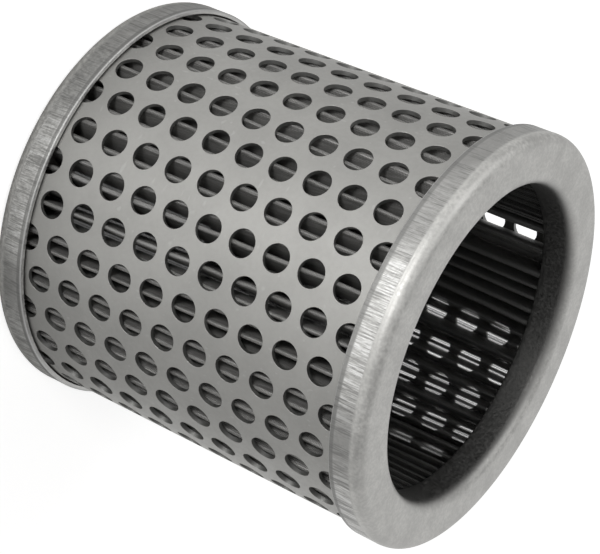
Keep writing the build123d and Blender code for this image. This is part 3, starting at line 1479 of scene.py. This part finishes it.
class FILTER_OT_stage(bpy.types.Operator):
    """Sets the camera, the softboxes, the surroundings and the floor"""

    bl_idname = "filter.stage"
    bl_label = "Studio"

    def execute(self, context):
        settings = context.scene.filter_stage
        scene = context.scene
        scene.view_settings.view_transform = "Standard"
        data = bpy.data.cameras.new("camera")
        data.lens = settings.lens
        data.sensor_width = 36.0
        data.clip_start = 0.01
        data.clip_end = 20.0
        camera = bpy.data.objects.new("camera", data)
        camera.location = settings.camera_place
        camera.rotation_euler = settings.camera_turn
        scene.collection.objects.link(camera)
        scene.camera = camera
        self.world(scene, settings)
        self.softbox("key_softbox", (0.55, 0.0, 0.1), 0.14, settings.key)
        self.softbox("top_softbox", (0.1, -0.35, 0.5), 0.4, settings.rim)
        reach = 3.0
        floor = mesh_object(
            "studio_floor",
            [(-reach, -reach, 0), (reach, -reach, 0), (reach, reach, 0), (-reach, reach, 0)],
            [(0, 1, 2, 3)],
            floor_material(settings),
        )
        floor.location.z = -0.00005
        return {"FINISHED"}

    def softbox(self, name, place, size, power):
        """Square lamp that looks at the middle of the element."""
        lamp = bpy.data.lights.new(name, "AREA")
        lamp.shape = "SQUARE"
        lamp.size = size
        lamp.energy = power
        box = bpy.data.objects.new(name, lamp)
        box.location = place
        target = (0.0, 0.0, 0.04)
        aim = [t - p for t, p in zip(target, place)]
        across = hypot(aim[0], aim[1])
        box.rotation_euler = Euler((atan2(across, -aim[2]), 0.0, atan2(aim[1], aim[0]) - pi / 2))
        bpy.context.scene.collection.objects.link(box)

    def world(self, scene, settings):
        """Even surroundings, white where they are seen or mirrored."""
        world = bpy.data.worlds.new("studio_surroundings")
        scene.world = world
        world.use_nodes = True
        tree = world.node_tree
        tree.nodes.clear()
        heading = separate(tree, tree.nodes.new("ShaderNodeTexCoord").outputs["Generated"])
        toward = math(
            tree,
            "ADD",
            math(tree, "MULTIPLY", heading[0], cos(settings.lit_side)),
            math(tree, "MULTIPLY", heading[1], sin(settings.lit_side)),
        )
        lit = math(
            tree, "MAXIMUM", ramp(tree, toward, 0.05, 0.42), ramp(tree, toward, -0.35, -0.7)
        )
        rays = tree.nodes.new("ShaderNodeLightPath").outputs
        seen = math(tree, "MAXIMUM", rays["Is Camera Ray"], rays["Is Transmission Ray"])
        strength = mix_number(tree, seen, settings.fill, 1.0)
        mirrored = mix_number(tree, lit, settings.side_dim, 1.0)
        strength = mix_number(tree, rays["Is Glossy Ray"], strength, mirrored)
        back = add_node(
            tree,
            "ShaderNodeBackground",
            {"Color": (1.0, 1.0, 1.0, 1.0), "Strength": strength},
        )
        add_node(tree, "ShaderNodeOutputWorld", {"Surface": back.outputs[0]})


class FILTER_OT_end_caps(bpy.types.Operator):
    """Makes both drawn end caps and finishes the adhesive inside them"""

    bl_idname = "filter.end_caps"
    bl_label = "End caps"

    def execute(self, context):
        settings = context.scene.filter_caps
        steel = cap_steel_material(settings)
        section = cap_section(settings)

        def dent(turn, radius, height):
            """Hand's breadth waves of a few hundredths of a millimetre."""
            return MM * 0.015 * (1 + sin(3 * turn + 900 * height) * sin(11 * turn + 2.0))

        for name, top in (("front_end_cap", True), ("rear_end_cap", False)):
            if top:
                profile = [(r, settings.overall_length - d) for r, d in section]
            else:
                profile = [(r, d) for r, d in reversed(section)]
            points, faces = revolved(profile, 240, dent)
            cap = mesh_object(name + "_finished", points, faces, steel)
            self.keep_edges(cap)
            finished(cap, name)
        adhesive = adhesive_material(settings)
        for name in ("front_adhesive", "rear_adhesive"):
            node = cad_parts[name]
            node.material_slots[0].material = adhesive
        return {"FINISHED"}

    def keep_edges(self, cap):
        """Marks the cap's square edges as sharp."""
        mesh = cap.data
        mesh.set_sharp_from_angle(angle=radians(38))


class FILTER_OT_perforated_tube(bpy.types.Operator):
    """Makes the tube of punched sheet"""

    bl_idname = "filter.perforated_tube"
    bl_label = "Perforated tube"

    def execute(self, context):
        settings = context.scene.filter_tube
        caps = context.scene.filter_caps
        points, faces = punched_cell(settings)
        tube = mesh_object("perforated_tube_finished", points, faces)
        modifier = tube.modifiers.new("punched_sheet", "NODES")
        modifier.node_group = perforated_tube_tree()
        set_inputs(
            modifier,
            {
                "Tube Radius": settings.tube_radius,
                "Wall": settings.tube_wall,
                "Row Angle": settings.row_angle,
                "Rows": settings.rows,
                "First Row": settings.first_row,
                "Holes per Row": settings.holes,
                "Hole Pitch": settings.hole_pitch,
                "Odd Row Height": settings.odd_row_height,
                "Bottom": settings.end_margin,
                "Top": caps.overall_length - settings.end_margin,
                "Cell Side": CELL_SIDE,
                "Metal": tube_steel_material(settings),
            },
        )
        apply_modifiers(tube)
        finished(tube, "perforated_tube")
        return {"FINISHED"}


class FILTER_OT_pleated_mesh(bpy.types.Operator):
    """Makes the pleated wire mesh inside the tube"""

    bl_idname = "filter.pleated_mesh"
    bl_label = "Pleated mesh"

    def execute(self, context):
        settings = context.scene.filter_mesh
        caps = context.scene.filter_caps
        line = pleat_line(settings)
        mesh = bpy.data.meshes.new("pleated_mesh_finished")
        mesh.from_pydata([(x, y, 0.0) for x, y, _ in line], [(k, k + 1) for k in range(len(line) - 1)], [])
        run = [0.0]
        for before, after in zip(line, line[1:]):
            run.append(run[-1] + hypot(after[0] - before[0], after[1] - before[1]))
        for name, values in (
            ("bend", [p[2] for p in line]),
            ("length", run),
            ("whole_length", [run[-1]] * len(line)),
        ):
            mesh.attributes.new(name, "FLOAT", "POINT").data.foreach_set("value", values)
        pleats = bpy.data.objects.new("pleated_mesh_finished", mesh)
        context.scene.collection.objects.link(pleats)
        modifier = pleats.modifiers.new("folded_sheet", "NODES")
        modifier.node_group = pleated_mesh_tree(len(line) - 1)
        set_inputs(
            modifier,
            {
                "Pleats": settings.pleat_count,
                "First Pleat": settings.first_pleat,
                "Bottom": settings.bed_face,
                "Top": caps.overall_length - settings.bed_face,
                "Levels": settings.levels,
                "Unevenness": settings.unevenness,
                "Waviness": settings.waviness,
                "Seed": 3.0,
                "Spread Angle": settings.spread_angle,
                "Spread": settings.spread,
                "Spread Shift": settings.spread_shift,
                "Spread Lean": settings.spread_lean,
                "Open Crest": settings.open_crest,
                "Gather": settings.gather,
                "Gather Slope": settings.gather_slope / (44 * MM),
                "Hang": settings.hang,
                "Hang Angle": settings.hang_angle,
                "Low Place": settings.low_place,
                "Low Lean": settings.low_lean,
                "Inner Radius": settings.pleat_inner_radius,
                "Outer Radius": settings.pleat_outer_radius,
                "Metal": wire_mesh_material(settings),
            },
        )
        sheet = pleats.modifiers.new("sheet_thickness", "SOLIDIFY")
        sheet.thickness = settings.pleat_sheet
        sheet.offset = 0.0
        sheet.use_rim = True
        apply_modifiers(pleats)
        finished(pleats, "pleated_mesh")
        return {"FINISHED"}


class FILTER_PT_panel(bpy.types.Panel):
    """Lists the filter element's pieces and their settings."""

    bl_label = "Filter element"
    bl_idname = "FILTER_PT_panel"
    bl_space_type = "VIEW_3D"
    bl_region_type = "UI"
    bl_category = "Filter"

    def draw(self, context):
        for operator, group in (
            ("filter.stage", "filter_stage"),
            ("filter.end_caps", "filter_caps"),
            ("filter.perforated_tube", "filter_tube"),
            ("filter.pleated_mesh", "filter_mesh"),
        ):
            box = self.layout.box()
            box.operator(operator)
            settings = getattr(context.scene, group)
            for name in settings.bl_rna.properties.keys():
                if name not in ("rna_type", "name"):
                    box.prop(settings, name)


SETTINGS = {
    "filter_stage": FilterStageSettings,
    "filter_caps": FilterCapSettings,
    "filter_tube": FilterTubeSettings,
    "filter_mesh": FilterMeshSettings,
}
CLASSES = (
    *SETTINGS.values(),
    FILTER_OT_stage,
    FILTER_OT_end_caps,
    FILTER_OT_perforated_tube,
    FILTER_OT_pleated_mesh,
    FILTER_PT_panel,
)


def register():
    for made in CLASSES:
        bpy.utils.register_class(made)
    for name, group in SETTINGS.items():
        setattr(bpy.types.Scene, name, PointerProperty(type=group))


def unregister():
    for name in SETTINGS:
        delattr(bpy.types.Scene, name)
    for made in reversed(CLASSES):
        bpy.utils.unregister_class(made)


def main():
    register()
    GROUPS["round_axis"] = group_round_axis()
    GROUPS["draw_marks"] = group_draw_marks()
    GROUPS["fine_scratches"] = group_fine_scratches()
    GROUPS["mottling"] = group_mottling()
    bpy.ops.filter.stage()
    bpy.ops.filter.end_caps()
    bpy.ops.filter.perforated_tube()
    bpy.ops.filter.pleated_mesh()


if __name__ == "__main__":
    main()
